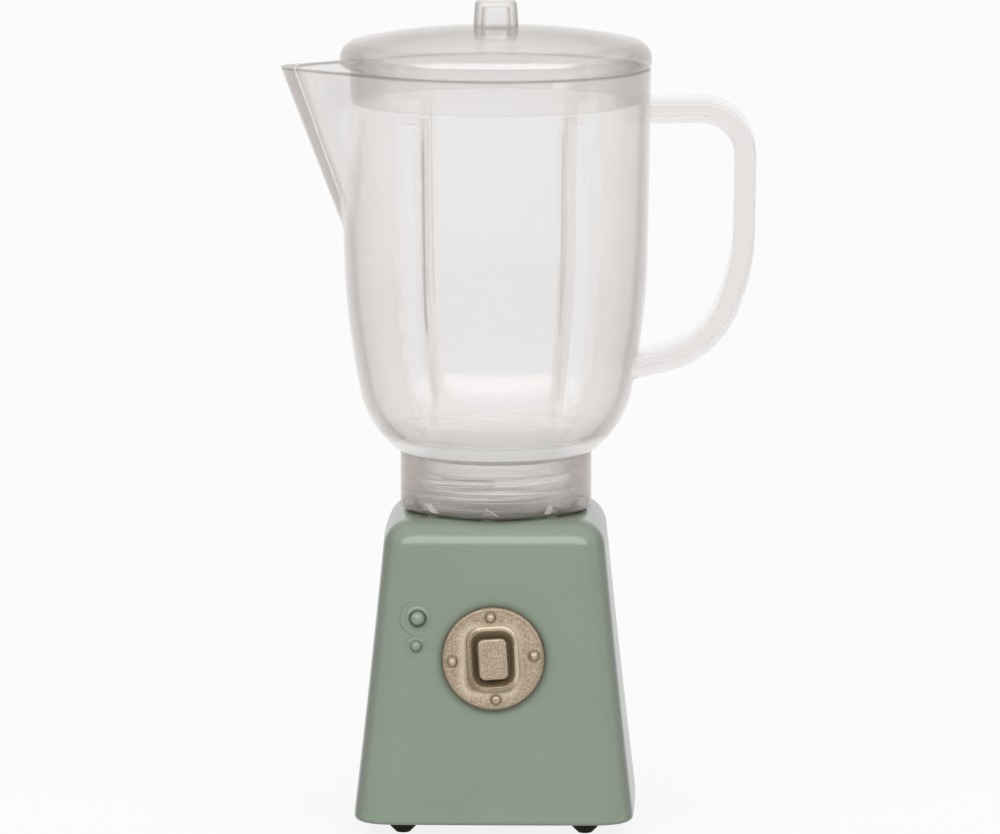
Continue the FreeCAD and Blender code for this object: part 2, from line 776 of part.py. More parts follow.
def make_handle():
    t = handle_thick / 2
    line = [(0, handle_top_z), (handle_out_top_r, handle_top_z + handle_top_rise),
            (handle_out_top_r - handle_lean_in, handle_top_z - handle_side_drop),
            (handle_out_top_r - handle_heel_in, handle_top_z - handle_heel_drop),
            (0, handle_top_z - handle_root_drop)]
    radii = [0, handle_corner_r, handle_side_arc_r, handle_heel_arc_r, 0]
    sides = {}
    for side in (t, -t):
        run = [(line[0][0], line[0][1] + side, 0)]
        for i in (1, 2, 3):
            x, z = inset_corner(line[i - 1], line[i], line[i + 1], side, side)
            run.append((x, z, radii[i] + side))
        run.append((line[4][0], line[4][1] - side, 0))
        sides[side] = run
    strap = Part.Face(rounded_outline(sides[t] + sides[-t][::-1]))
    strap = strap.extrude(V(0, handle_width, 0))
    strap.translate(V(0, -handle_width / 2, 0))
    strap = round_edges(strap, handle_edge_r, on_strap_side)
    return strap.cut(jug_outside(bond_gap))


def on_strap_side(edge):
    box = edge.BoundBox
    flat = box.YMax - box.YMin < 1e-4 and abs(abs(box.YMin) - handle_width / 2) < 1e-4
    return flat and box.XMax > 1e-4


# ---- lid ----

def make_lid():
    bore_r = rim_r - rim_wall
    bore_slope = (bore_r - (break_r - side_wall)) / (rim_z - break_z)
    plug_top_r = bore_r - plug_fit
    plug_low_r = plug_top_r - bore_slope * (rim_z - plug_bottom_z)
    plug_inner_r = plug_low_r - plug_wall
    under_edge_z = lid_edge_z - lid_wall
    under_top_z = lid_top_z - lid_wall
    cap = turned([(0, under_top_z, 0), (lid_bend_r, lid_bend_z - lid_wall, lid_bend_arc_r),
                  (plug_inner_r, under_edge_z, lid_inner_arc_r), (plug_inner_r, plug_bottom_z, 0),
                  (plug_low_r, plug_bottom_z, plug_edge_r), (plug_top_r, rim_z, 0),
                  (lid_r, rim_z, lid_edge_low_r), (lid_r, lid_edge_z, lid_edge_top_r),
                  (lid_bend_r, lid_bend_z, lid_bend_arc_r), (0, lid_top_z, 0)])
    knob = turned([(0, under_top_z, 0), (knob_base_r, under_top_z, 0),
                   (knob_top_r, knob_top_z, knob_edge_r), (0, knob_top_z, 0)])
    low_z = under_top_z - lid_wall
    hollow = turned([(0, low_z, 0), (knob_base_r - knob_wall, low_z, 0),
                     (knob_top_r - knob_wall, knob_top_z - knob_wall, knob_inner_edge_r),
                     (0, knob_top_z - knob_wall, 0)])
    return cap.fuse(knob).cut(hollow).removeSplitter()


def main():
    os.makedirs("parts", exist_ok=True)
    pieces = {
        "base_shell": make_base_shell(),
        "bottom_plate": make_bottom_plate(),
        "bottom_screws": make_bottom_screws(),
        "switch_plate": make_switch_plate(),
        "plate_rivets": make_plate_rivets(),
        "button_guide": make_button_guide(),
        "button": make_button(),
        "button_spring": make_button_spring(),
        "thread_boss": make_thread_boss(),
        "boss_screw": make_boss_screw(),
        "boss_washer": make_boss_washer(),
        "neck_seal": make_neck_seal(),
        "neck_collar": make_neck_collar(),
        "jug": make_jug(),
        "handle": make_handle(),
        "lid": make_lid(),
    }
    for name, (x, y) in foot_places().items():
        pieces[name] = make_foot(x, y)
    for name, shape in pieces.items():
        shape.exportStep("parts/" + name + ".step")
        print(name, "solids", len(shape.Solids), "faces", len(shape.Faces), "valid", shape.isValid(),
              "volume", round(shape.Volume, 2))


main()
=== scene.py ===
import json
import math

import bmesh
import bpy
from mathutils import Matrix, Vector

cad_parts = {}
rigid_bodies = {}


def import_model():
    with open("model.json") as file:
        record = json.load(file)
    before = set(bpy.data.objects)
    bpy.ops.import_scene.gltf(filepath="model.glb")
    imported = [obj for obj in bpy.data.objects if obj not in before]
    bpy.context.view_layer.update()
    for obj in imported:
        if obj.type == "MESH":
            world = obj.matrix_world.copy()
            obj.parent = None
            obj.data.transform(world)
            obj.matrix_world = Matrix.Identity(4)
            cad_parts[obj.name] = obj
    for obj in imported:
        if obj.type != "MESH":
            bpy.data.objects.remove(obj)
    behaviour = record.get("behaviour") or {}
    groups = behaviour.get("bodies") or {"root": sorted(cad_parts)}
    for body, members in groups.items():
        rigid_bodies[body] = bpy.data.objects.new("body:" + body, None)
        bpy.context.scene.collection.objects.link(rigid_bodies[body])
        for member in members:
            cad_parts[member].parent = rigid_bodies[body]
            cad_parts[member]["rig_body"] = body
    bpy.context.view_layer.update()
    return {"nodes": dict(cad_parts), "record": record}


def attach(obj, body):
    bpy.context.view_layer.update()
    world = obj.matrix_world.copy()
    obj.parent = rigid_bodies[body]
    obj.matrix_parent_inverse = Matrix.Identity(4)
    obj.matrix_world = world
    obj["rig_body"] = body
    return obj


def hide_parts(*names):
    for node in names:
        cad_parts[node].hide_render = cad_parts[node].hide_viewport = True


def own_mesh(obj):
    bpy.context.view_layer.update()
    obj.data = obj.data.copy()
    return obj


# Toy blender, dressed around its CAD frame. Metres, +Z up, the front faces -Y, the spout
# points to -X and the handle to +X. Every piece keeps its place in its own mesh.

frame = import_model()
MM = 0.001
UP = (0.0, 0.0, 1.0)

# clear pieces that meet flat keep a film of air between them, as real mouldings do
FILM = 0.02 * MM

# ---- helpers ----

SAME_POINT = 1e-7


def linear(hex_colour):
    """sRGB hex colour as the linear values that a shader takes."""
    channels = [int(hex_colour[i:i + 2], 16) / 255 for i in (1, 3, 5)]
    return [c / 12.92 if c <= 0.04045 else ((c + 0.055) / 1.055) ** 2.4 for c in channels] + [1.0]


def add_node(tree, kind, inputs=None, **settings):
    """Adds one shader node with its settings, and with inputs that are values or sockets."""
    made = tree.nodes.new(kind)
    for name, value in settings.items():
        setattr(made, name, value)
    for name, value in (inputs or {}).items():
        if isinstance(value, bpy.types.NodeSocket):
            tree.links.new(value, made.inputs[name])
        else:
            made.inputs[name].default_value = value
    return made


def new_material(name):
    """Empty material with its node tree and an output."""
    material = bpy.data.materials.new(name)
    material.use_nodes = True
    material.node_tree.nodes.clear()
    output = material.node_tree.nodes.new("ShaderNodeOutputMaterial")
    return material, material.node_tree, output


def heights(node):
    """Lowest and highest point of a CAD node."""
    levels = [vertex.co.z for vertex in frame["nodes"][node].data.vertices]
    return min(levels), max(levels)


def box_middle(node):
    """Middle of a CAD node's box."""
    spans = zip(*(vertex.co for vertex in frame["nodes"][node].data.vertices))
    return [(min(span) + max(span)) / 2 for span in spans]


def smooth_shell(node, films=(), corner_degrees=35.0):
    """Merged copy of a CAD node, shaded smooth up to its real corners, in that node's place.

    films lists (level, shift) pairs: flat faces at that level move by that thin shift.
    """
    source = frame["nodes"][node]
    mesh = source.data.copy()
    mesh.materials.clear()
    work = bmesh.new()
    work.from_mesh(mesh)
    bmesh.ops.remove_doubles(work, verts=work.verts, dist=SAME_POINT)
    for level, shift in films:
        for vertex in work.verts:
            if abs(vertex.co.z - level) < FILM / 10:
                vertex.co.z += shift
    limit = math.radians(corner_degrees)
    for face in work.faces:
        face.smooth = True
    for edge in work.edges:
        edge.smooth = len(edge.link_faces) == 2 and edge.calc_face_angle() < limit
    work.to_mesh(mesh)
    work.free()
    piece = bpy.data.objects.new(node + "_finish", mesh)
    bpy.context.scene.collection.objects.link(piece)
    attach(piece, source["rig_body"])
    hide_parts(node)
    return piece


# ---- marks ----
# A mark is a function of a material's node tree and of the place on a piece. It gives the share,
# from 0 to 1, that something has there, such as painted shade, a painted highlight, a ground face
# or a greyer tint.

ANY_DEPTH = 1.0
LEVEL_PART = (1.0, 1.0, 0.0)
CUT_ACROSS = 0.35
# a pattern drawn out this far round the piece lies in lines
DRAWN_OUT = (0.015, 0.015, 1.0)


def beyond(direction, start, full):
    """Mark that grows from start to full, as distances along a direction."""
    def mark(tree, place):
        along = add_node(tree, "ShaderNodeVectorMath", {0: place, 1: direction}, operation="DOT_PRODUCT")
        return add_node(tree, "ShaderNodeMapRange", {
            "Value": along.outputs["Value"], "From Min": start, "From Max": full}).outputs["Result"]
    return mark


def below(full_height, clear_height):
    """Mark that is full up to one height and gone at the next."""
    return beyond(UP, clear_height, full_height)


def stripe(direction, distance, half_width):
    """Mark of a soft line at a distance along a direction."""
    def mark(tree, place):
        along = add_node(tree, "ShaderNodeVectorMath", {0: place, 1: direction}, operation="DOT_PRODUCT")
        off = add_node(tree, "ShaderNodeMath", {0: along.outputs["Value"], 1: distance},
                       operation="SUBTRACT")
        off = add_node(tree, "ShaderNodeMath", {0: off.outputs[0]}, operation="ABSOLUTE")
        return add_node(tree, "ShaderNodeMapRange", {
            "Value": off.outputs[0], "From Min": half_width, "From Max": 0.0}).outputs["Result"]
    return mark


def off_outline(centre, half_sizes, start, full):
    """Mark that grows from start to full, as distances off an upright rectangle in the front.

    Where full is less than start, the mark lies round the rectangle and inside it.
    """
    block = (half_sizes[0], ANY_DEPTH, half_sizes[1])

    def mark(tree, place):
        off = add_node(tree, "ShaderNodeVectorMath", {0: place, 1: centre}, operation="SUBTRACT")
        off = add_node(tree, "ShaderNodeVectorMath", {0: off.outputs[0]}, operation="ABSOLUTE")
        off = add_node(tree, "ShaderNodeVectorMath", {0: off.outputs[0], 1: block}, operation="SUBTRACT")
        off = add_node(tree, "ShaderNodeVectorMath", {0: off.outputs[0], 1: (0, 0, 0)}, operation="MAXIMUM")
        off = add_node(tree, "ShaderNodeVectorMath", {0: off.outputs[0]}, operation="LENGTH")
        return add_node(tree, "ShaderNodeMapRange", {
            "Value": off.outputs["Value"], "From Min": start, "From Max": full}).outputs["Result"]
    return mark


def edge_on(start, full):
    """Mark of upright faces seen at a slant, as shares of the way to edge on."""
    def mark(tree, place):
        slant = add_node(tree, "ShaderNodeLayerWeight", {"Blend": 0.5}).outputs["Facing"]
        steep = add_node(tree, "ShaderNodeMapRange", {"Value": slant, "From Min": start, "From Max": full})
        normal = add_node(tree, "ShaderNodeTexCoord").outputs["Normal"]
        upward = add_node(tree, "ShaderNodeSeparateXYZ", {"Vector": normal}).outputs["Z"]
        upward = add_node(tree, "ShaderNodeMath", {0: upward}, operation="ABSOLUTE")
        upright = add_node(tree, "ShaderNodeMapRange", {
            "Value": upward.outputs[0], "From Min": 0.35, "From Max": 0.8, "To Min": 1.0, "To Max": 0.0})
        return add_node(tree, "ShaderNodeMath", {0: steep.outputs["Result"], 1: upright.outputs["Result"]},
                        operation="MULTIPLY").outputs[0]
    return mark


def near_side(radius):
    """Mark of the outer faces of a round wall, past that radius, where they are not seen from inside."""
    def mark(tree, place):
        level = add_node(tree, "ShaderNodeVectorMath", {0: place, 1: LEVEL_PART}, operation="MULTIPLY")
        far_out = add_node(tree, "ShaderNodeVectorMath", {0: level.outputs[0]}, operation="LENGTH")
        outside = add_node(tree, "ShaderNodeMath", {0: far_out.outputs["Value"], 1: radius},
                           operation="GREATER_THAN")
        back = add_node(tree, "ShaderNodeNewGeometry").outputs["Backfacing"]
        return add_node(tree, "ShaderNodeMath", {0: outside.outputs[0], 1: back}, operation="SUBTRACT",
                        use_clamp=True).outputs[0]
    return mark


def across_wall(low, high):
    """Mark of the faces between two heights that are cut across a round wall."""
    def mark(tree, place):
        normal = add_node(tree, "ShaderNodeTexCoord").outputs["Normal"]
        level = add_node(tree, "ShaderNodeVectorMath", {0: place, 1: LEVEL_PART}, operation="MULTIPLY")
        outwards = add_node(tree, "ShaderNodeVectorMath", {0: level.outputs[0]}, operation="NORMALIZE")
        facing = add_node(tree, "ShaderNodeVectorMath", {0: normal, 1: outwards.outputs[0]},
                          operation="DOT_PRODUCT")
        cut = add_node(tree, "ShaderNodeMath", {0: facing.outputs["Value"], 1: 0.0, 2: CUT_ACROSS},
                       operation="COMPARE")
        height = add_node(tree, "ShaderNodeSeparateXYZ", {"Vector": place}).outputs["Z"]
        between = add_node(tree, "ShaderNodeMath", {0: height, 1: (low + high) / 2, 2: (high - low) / 2},
                           operation="COMPARE")
        return add_node(tree, "ShaderNodeMath", {0: cut.outputs[0], 1: between.outputs[0]},
                        operation="MULTIPLY").outputs[0]
    return mark


def painted_level_lines(spacing, start, full):
    """Mark of fine level lines from stretched noise, for painted shade and painted highlights."""
    def mark(tree, place):
        drawn_out = add_node(tree, "ShaderNodeVectorMath", {0: place, 1: DRAWN_OUT}, operation="MULTIPLY")
        lines = add_node(tree, "ShaderNodeTexNoise", {"Vector": drawn_out.outputs[0], "Scale": 1 / spacing,
                                                      "Detail": 2.0})
        return add_node(tree, "ShaderNodeMapRange", {
            "Value": lines.outputs["Fac"], "From Min": start, "From Max": full}).outputs["Result"]
    return mark


def overlap(*marks):
    """Mark only where all of these marks are."""
    def mark(tree, place):
        made = marks[0](tree, place)
        for other in marks[1:]:
            made = add_node(tree, "ShaderNodeMath", {0: made, 1: other(tree, place)},
                            operation="MULTIPLY").outputs[0]
        return made
    return mark


# ---- sage green enamel of the base ----


def stove_enamel():
    """Vitreous enamel on steel, glossy sage green: a clear glaze with faint orange peel."""
    material, tree, output = new_material("sage_stove_enamel")
    place = add_node(tree, "ShaderNodeTexCoord").outputs["Object"]
    # glaze pools a little over some 12 mm, which shifts its depth of colour
    pooling = add_node(tree, "ShaderNodeTexNoise", {"Vector": place, "Scale": 1 / (12 * MM), "Detail": 2.0})
    colour = add_node(tree, "ShaderNodeMix", {"Factor": pooling.outputs["Fac"], "A": linear("#758173"),
                                              "B": linear("#7c8878")}, data_type="RGBA")
    # painted shade: upright sides seen at a slant are darkened toward a deep green
    slant = add_node(tree, "ShaderNodeLayerWeight", {"Blend": 0.5}).outputs["Facing"]
    steep = add_node(tree, "ShaderNodeMapRange", {"Value": slant, "From Min": 0.3, "From Max": 0.65})
    normal = add_node(tree, "ShaderNodeTexCoord").outputs["Normal"]
    upward = add_node(tree, "ShaderNodeSeparateXYZ", {"Vector": normal}).outputs["Z"]
    upright = add_node(tree, "ShaderNodeMapRange", {
        "Value": upward, "From Min": 0.35, "From Max": 0.95, "To Min": 1.0, "To Max": 0.25})
    painted_side_shade = add_node(tree, "ShaderNodeMath", {0: steep.outputs["Result"], 1: upright.outputs["Result"]},
                    operation="MULTIPLY")
    colour = add_node(tree, "ShaderNodeMix", {"Factor": painted_side_shade.outputs[0], "A": colour.outputs["Result"],
                                              "B": linear("#38472f")}, data_type="RGBA")
    # painted shade: ambient occlusion darkens the corners round the plate, the domes and the neck
    open_sky = add_node(tree, "ShaderNodeAmbientOcclusion", {"Distance": 1.0 * MM}, samples=8)
    enamel_unshaded = add_node(tree, "ShaderNodeMapRange", {
        "Value": open_sky.outputs["AO"], "From Min": 0.4, "From Max": 0.95})
    colour = add_node(tree, "ShaderNodeMix", {"Factor": enamel_unshaded.outputs["Result"], "A": linear("#566050"),
                                              "B": colour.outputs["Result"]}, data_type="RGBA")
    # orange peel ripples are about 1.5 mm apart
    peel = add_node(tree, "ShaderNodeTexNoise", {"Vector": place, "Scale": 1 / (1.5 * MM), "Detail": 1.0})
    bump = add_node(tree, "ShaderNodeBump", {
        "Height": peel.outputs["Fac"], "Strength": 0.06, "Distance": 0.05 * MM})
    shader = add_node(tree, "ShaderNodeBsdfPrincipled", {
        "Base Color": colour.outputs["Result"], "Roughness": 0.24, "IOR": 1.5, "Coat Weight": 0.32,
        "Coat Roughness": 0.1, "Normal": bump.outputs["Normal"]})
    tree.links.new(shader.outputs["BSDF"], output.inputs["Surface"])
    return material


# ---- bronze of the switch ----

# colour of the painted shade on the bronze
SHADE_BRONZE = "#54462f"
BUTTON_HALF = (1.9 * MM, 2.7 * MM)
AXIS_ONLY = (0.0, 0.0)

# how far off the button's outline, or in from the plate's rim, each mark starts and is full
TROUGH = (1.6 * MM, 0.4 * MM)
CREST_FROM_OUTSIDE = (2.6 * MM, 1.8 * MM)
CREST_FROM_INSIDE = (1.2 * MM, 1.7 * MM)
SHADED_RIM = (0.75 * MM, 0.1 * MM)


def bronze_lacquer(name, overlays=()):
    """Die-cast zinc under a bronze metallic lacquer: fine flakes give it a sparkling grain.

    overlays are (mark, tint, share) of painted shade and painted highlights laid on the lacquer. Edge on it
    is darkened with painted shade.
    """
    material, tree, output = new_material(name)
    place = add_node(tree, "ShaderNodeTexCoord").outputs["Object"]
    # real flakes are 0.05 mm; drawn at 0.22 mm so that they still show
    flakes = add_node(tree, "ShaderNodeTexNoise", {"Vector": place, "Scale": 1 / (0.22 * MM), "Detail": 3.0,
                                                   "Roughness": 0.7})
    grain = add_node(tree, "ShaderNodeValToRGB", {"Fac": flakes.outputs["Fac"]})
    dark, bright = grain.color_ramp.elements
    dark.position = 0.35
    dark.color = linear("#8a7b69")
    bright.position = 0.68
    bright.color = linear("#ccbaa2")
    # painted shade: ambient occlusion turns the corners to a flat, darker bronze
    open_sky = add_node(tree, "ShaderNodeAmbientOcclusion", {"Distance": 1.2 * MM}, samples=8)
    bronze_unshaded = add_node(tree, "ShaderNodeMapRange", {
        "Value": open_sky.outputs["AO"], "From Min": 0.3, "From Max": 0.85})
    tone = add_node(tree, "ShaderNodeMix", {"Factor": bronze_unshaded.outputs["Result"], "A": linear("#a8967b"),
                                            "B": grain.outputs["Color"]}, data_type="RGBA").outputs["Result"]
    # painted shade: faces seen at a slant, such as the rivets' flanks, darken toward the shade colour
    for mark, tint, share in ((edge_on(0.12, 0.6), SHADE_BRONZE, 0.55), *overlays):
        overlay = add_node(tree, "ShaderNodeMath", {0: mark(tree, place), 1: share}, operation="MULTIPLY")
        tone = add_node(tree, "ShaderNodeMix", {"Factor": overlay.outputs[0], "A": tone, "B": linear(tint)},
                        data_type="RGBA").outputs["Result"]
    bump = add_node(tree, "ShaderNodeBump", {
        "Height": flakes.outputs["Fac"], "Strength": 0.35, "Distance": 0.04 * MM})
    shader = add_node(tree, "ShaderNodeBsdfPrincipled", {
        "Base Color": tone, "Metallic": 0.6, "Roughness": 0.4, "Normal": bump.outputs["Normal"]})
    tree.links.new(shader.outputs["BSDF"], output.inputs["Surface"])
    return material


def switch_plate_lacquer():
    """Bronze lacquer of the plate: painted shade in the button's trough, a painted highlight on the crest
    round it, painted shade at the rim.
    """
    button = box_middle("button")
    # the painted shade and highlight lie widest at the button's left, and a little wider under it
    trough = (button[0] - 0.4 * MM, button[1], button[2] - 0.1 * MM)
    crest = overlap(off_outline(trough, BUTTON_HALF, *CREST_FROM_OUTSIDE),
                    off_outline(trough, BUTTON_HALF, *CREST_FROM_INSIDE))
    low, high = heights("switch_plate")
    radius = (high - low) / 2
    rim = off_outline(box_middle("switch_plate"), AXIS_ONLY, radius - SHADED_RIM[0], radius - SHADED_RIM[1])
    # the trough and the rim get painted shade, and the crest a painted highlight
    return bronze_lacquer("bronze_metallic_lacquer_plate", [
        (off_outline(trough, BUTTON_HALF, *TROUGH), "#7a6a52", 0.8),
        (crest, "#ece0ca", 0.4),
        (rim, SHADE_BRONZE, 0.5)])


# ---- clear styrene of the jug, its handle, lid and collar, and the thread boss ----

EDGE_GLOSS = 0.5
SOFT_EDGE = 0.3 * MM

collar_low, collar_high = heights("neck_collar")
rim_height = heights("jug")[1]

# the spout's nose is solid plastic up to its hollow, whose own nose runs down at this slope
SPOUT_HOLLOW = 26.8 * MM
SPOUT_SLOPE = 0.354
SPOUT_FOOT = 20.7 * MM
SPOUT_LINE = 0.14 * MM

# a flute's edge nearest the blender's middle, on the outermost skin of the wall
FLUTE_TURN = math.radians(33.5)
FLUTE_HALF = 2.5 * MM
FLUTE_FOOT = rim_height - 45 * MM
FLUTE_HEAD = rim_height - 6 * MM
FOOT_FADE = 12 * MM
HEAD_FADE = 3 * MM
WALL_SLOPE = 0.0108
WALL_RADIUS = 20.9 * MM - WALL_SLOPE * rim_height
WALL_SKIN = (1.0 * MM, 0.8 * MM)

RIM_LINE = (0.4 * MM, 0.15 * MM)
RIM_INSIDE = 19 * MM
JUG_FLOOR = 1.5 * MM
FLOOR_FADE = 1.2 * MM
KNOB_HEIGHT = 3.9 * MM

# heights over the collar's lower edge, where each mark of the neck is full and gone
CONTACT_SHADOW = (0.3 * MM, 0.45 * MM)
NOTCHES = (0.05 * MM, 1.4 * MM)
THREAD_TOP = (4.6 * MM, 5.2 * MM)
THREAD_FOOT = (1.4 * MM, 2.4 * MM)
THREAD_SKIN = 9.95 * MM


def clear_styrene(name, density, body, shades=(), overlays=(), bent_look=("#fbfaf9", 0.06, 0.92),
                  gloss=0.04):
    """Injection-moulded clear polystyrene, with faint flow marks and a warm grey depth.

    density is the grey depth per metre of plastic. body is the share, square on and edge on,
    that bends light; the rest is seen straight through. shades are (mark, tint) pairs where the
    way through is greyer: thicker at the spout's nose, and elsewhere painted shade where a wall
    bends light away. overlays are (mark, tint, share): a ground face, a painted shadow or a
    painted highlight laid over the surface.
    bent_look is the tint, roughness and clearness of the share that bends light. gloss is the
    share that a square-on surface reflects.
    """
    material, tree, output = new_material(name)
    place = add_node(tree, "ShaderNodeTexCoord").outputs["Object"]
    # melt flow leaves shallow waves some 6 mm long
    flow = add_node(tree, "ShaderNodeTexNoise", {"Vector": place, "Scale": 1 / (6 * MM), "Detail": 2.0})
    bump = add_node(tree, "ShaderNodeBump", {
        "Height": flow.outputs["Fac"], "Strength": 0.12, "Distance": 0.1 * MM})
    slant = add_node(tree, "ShaderNodeLayerWeight", {"Blend": 0.5}).outputs["Facing"]
    through = linear("#ffffff")
    for mark, tint in shades:
        through = add_node(tree, "ShaderNodeMix", {"Factor": mark(tree, place), "A": through,
                                                   "B": linear(tint)}, data_type="RGBA").outputs["Result"]
    straight = add_node(tree, "ShaderNodeBsdfTransparent", {"Color": through})
    bent_tint, bent_roughness, clearness = bent_look
    bent = add_node(tree, "ShaderNodeBsdfPrincipled", {
        "Base Color": linear(bent_tint), "Roughness": bent_roughness, "IOR": 1.5,
        "Transmission Weight": clearness, "Normal": bump.outputs["Normal"]})
    share = add_node(tree, "ShaderNodeMapRange", {"Value": slant, "To Min": body[0], "To Max": body[1]})
    wall = add_node(tree, "ShaderNodeMixShader", {0: share.outputs["Result"], 1: straight.outputs["BSDF"],
                                                  2: bent.outputs["BSDF"]})
    # each overlay lays a ground face, a painted shadow or a painted highlight over the wall
    for mark, tint, overlay_share in overlays:
        overlay_look = add_node(tree, "ShaderNodeBsdfPrincipled", {"Base Color": linear(tint), "Roughness": 0.4})
        overlay = add_node(tree, "ShaderNodeMath", {0: mark(tree, place), 1: overlay_share}, operation="MULTIPLY")
        wall = add_node(tree, "ShaderNodeMixShader", {0: overlay.outputs[0], 1: wall.outputs["Shader"],
                                                      2: overlay_look.outputs["BSDF"]})
    # a polished surface reflects little square on and much edge on, by about the fifth power
    steep = add_node(tree, "ShaderNodeMath", {0: slant, 1: 5.0}, operation="POWER")
    mirror = add_node(tree, "ShaderNodeMapRange", {
        "Value": steep.outputs[0], "To Min": gloss, "To Max": EDGE_GLOSS})
    sheen = add_node(tree, "ShaderNodeBsdfAnisotropic", {
        "Color": linear("#ffffff"), "Roughness": 0.17, "Normal": bump.outputs["Normal"]})
    polished = add_node(tree, "ShaderNodeMixShader", {0: mirror.outputs["Result"], 1: wall.outputs["Shader"],
                                                      2: sheen.outputs["BSDF"]})
    depth = add_node(tree, "ShaderNodeVolumeAbsorption", {"Color": linear("#d8d1cd"), "Density": density})
    tree.links.new(polished.outputs["Shader"], output.inputs["Surface"])
    tree.links.new(depth.outputs["Volume"], output.inputs["Volume"])
    return material


def flute_line(side, y_side):
    """Mark of a painted shade line where one flute's inner edge bends the light away."""
    across = (side * math.cos(FLUTE_TURN), -y_side * math.sin(FLUTE_TURN), 0.0)
    outwards = (side * math.sin(FLUTE_TURN), y_side * math.cos(FLUTE_TURN), -WALL_SLOPE)
    return overlap(stripe(across, -FLUTE_HALF, SOFT_EDGE),
                   beyond(outwards, WALL_RADIUS - WALL_SKIN[0], WALL_RADIUS - WALL_SKIN[1]),
                   beyond(UP, FLUTE_FOOT, FLUTE_FOOT + FOOT_FADE),
                   below(FLUTE_HEAD - HEAD_FADE, FLUTE_HEAD))


def jug_styrene():
    """Styrene of the jug: greyer at the spout's solid nose, painted shade lines at the flutes and the rim, a
    painted highlight along the spout's hollow, ground at the floor.
    """
    past_wall = beyond((-1.0, 0.0, 0.0), SPOUT_FOOT, SPOUT_FOOT + SOFT_EDGE)
    spout_out = (-1.0, 0.0, -SPOUT_SLOPE)
    spout_nose = SPOUT_HOLLOW - SPOUT_SLOPE * rim_height
    solid_nose = overlap(beyond(spout_out, spout_nose, spout_nose + SOFT_EDGE), past_wall)
    # painted highlight: a white line along the nose of the spout's hollow
    nose_highlight = overlap(stripe(spout_out, spout_nose, SPOUT_LINE), past_wall)
    # painted shade: a dark line just under the rim's top, on its outer faces
    rim = overlap(beyond(UP, rim_height - RIM_LINE[0], rim_height - RIM_LINE[1]), near_side(RIM_INSIDE))
    floor_top = collar_high + JUG_FLOOR
    # the painted shade line of the front flute beside the spout is darkest
    flutes = [(flute_line(-1, -1), "#c4c0bd")]
    for side, y_side in ((1, -1), (-1, 1), (1, 1)):
        flutes.append((flute_line(side, y_side), "#e6e3e1"))
    return clear_styrene(
        "clear_styrene_jug", density=140.0, body=(0.06, 0.3),
        shades=[(solid_nose, "#ebe8e7"), *flutes, (rim, "#bcb6b3")],
        overlays=[(below(floor_top, floor_top + FLOOR_FADE), "#ffffff", 0.6), (nose_highlight, "#ffffff", 0.5)])


def handle_styrene():
    """Styrene of the handle: paler than the jug's, for so thick a piece."""
    return clear_styrene("clear_styrene_handle", density=58.0, body=(0.06, 0.4))


def lid_styrene():
    """Styrene of the lid: painted shade where it is seen edge on, most of all at its knob."""
    knob_foot = heights("lid")[1] - KNOB_HEIGHT
    knob_sides = overlap(edge_on(0.3, 0.7), beyond(UP, knob_foot, knob_foot + SOFT_EDGE))
    return clear_styrene(
        "clear_styrene_lid", density=112.0, body=(0.06, 0.3),
        shades=[(edge_on(0.3, 0.8), "#ece9e7"), (knob_sides, "#ccc7c4")], gloss=0.06)


def collar_styrene():
    """Styrene of the collar: its inner thread clouds it, its sides get painted shade edge on, its lower edge
    a painted contact shadow, and the cut sides of its notches a painted highlight.
    """
    # painted shadow along the lower edge, where the collar meets the base
    contact_shadow = below(collar_low + CONTACT_SHADOW[0], collar_low + CONTACT_SHADOW[1])
    notch_sides = across_wall(collar_low + NOTCHES[0], collar_low + NOTCHES[1])
    return clear_styrene(
        "clear_styrene_collar", density=115.0, body=(0.04, 0.5), shades=[(edge_on(0.3, 0.6), "#dfdad6")],
        overlays=[(contact_shadow, "#5f5a50", 0.8), (notch_sides, "#fbf9f7", 0.75)],
        bent_look=("#e6e2df", 0.1, 0.6))


def boss_styrene():
    """Styrene of the thread boss: painted shade lines and painted highlight lines on its thread, and painted
    shade at its foot.
    """
    skin = near_side(THREAD_SKIN)
    thread = overlap(below(collar_low + THREAD_TOP[0], collar_low + THREAD_TOP[1]), skin)
    # painted shade at the boss's foot
    foot = overlap(below(collar_low + THREAD_FOOT[0], collar_low + THREAD_FOOT[1]), skin)
    # painted shade lines and painted highlight lines stand in for the thread's lit and shaded flanks
    painted_shade_lines = overlap(thread, painted_level_lines(0.45 * MM, 0.54, 0.6))
    painted_highlight_lines = overlap(thread, painted_level_lines(0.33 * MM, 0.56, 0.62))
    return clear_styrene(
        "clear_styrene_boss", density=50.0, body=(0.06, 0.4),
        overlays=[(thread, "#e8e4e1", 0.4), (painted_shade_lines, "#7f7975", 0.6), (painted_highlight_lines, "#ffffff", 0.8),
               (foot, "#8d8883", 0.5)])


# ---- feet, seal, springs, fasteners and inner mouldings ----


def moulded_rubber():
    """Dark brown-black moulded rubber: matt, with a fine dusty grain."""
    material, tree, output = new_material("moulded_rubber")
    place = add_node(tree, "ShaderNodeTexCoord").outputs["Object"]
    grain = add_node(tree, "ShaderNodeTexNoise", {"Vector": place, "Scale": 1 / (0.3 * MM), "Detail": 2.0})
    colour = add_node(tree, "ShaderNodeMix", {"Factor": grain.outputs["Fac"], "A": linear("#2c281f"),
                                              "B": linear("#373228")}, data_type="RGBA")
    bump = add_node(tree, "ShaderNodeBump", {
        "Height": grain.outputs["Fac"], "Strength": 0.2, "Distance": 0.03 * MM})
    shader = add_node(tree, "ShaderNodeBsdfPrincipled", {
        "Base Color": colour.outputs["Result"], "Roughness": 0.8, "IOR": 1.25,
        "Normal": bump.outputs["Normal"]})
    tree.links.new(shader.outputs["BSDF"], output.inputs["Surface"])
    return material


